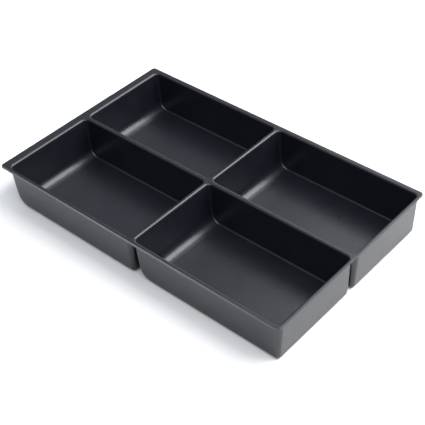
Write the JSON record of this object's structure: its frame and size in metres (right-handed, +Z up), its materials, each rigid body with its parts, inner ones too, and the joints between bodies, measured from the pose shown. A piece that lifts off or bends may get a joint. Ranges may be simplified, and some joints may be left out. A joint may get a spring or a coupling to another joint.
{
  "type": "drawer insert tray",
  "caption": "Shallow moulded drawer insert tray in black plastic: a flat rim that carries open rectangular bins, each with a sloping wall that runs into the floor in a scoop.",
  "frame": {"origin": "middle of the tray's bounding box on the plane that its bins stand on", "axes": "+X along the tray's length, from the bins' sloping walls towards their upright walls; +Y across it, from front to back; +Z up, out of the bins"},
  "size_m": [0.341, 0.218, 0.0445],
  "materials": {
    "tray_plastic": "satin black moulded plastic with a fine grain"
  },
  "bodies": {
    "root": {"rim": "tray_plastic", "bin_front_left": "tray_plastic", "bin_front_right": "tray_plastic", "bin_back_left": "tray_plastic", "bin_back_right": "tray_plastic"}
  },
  "joints": []
}
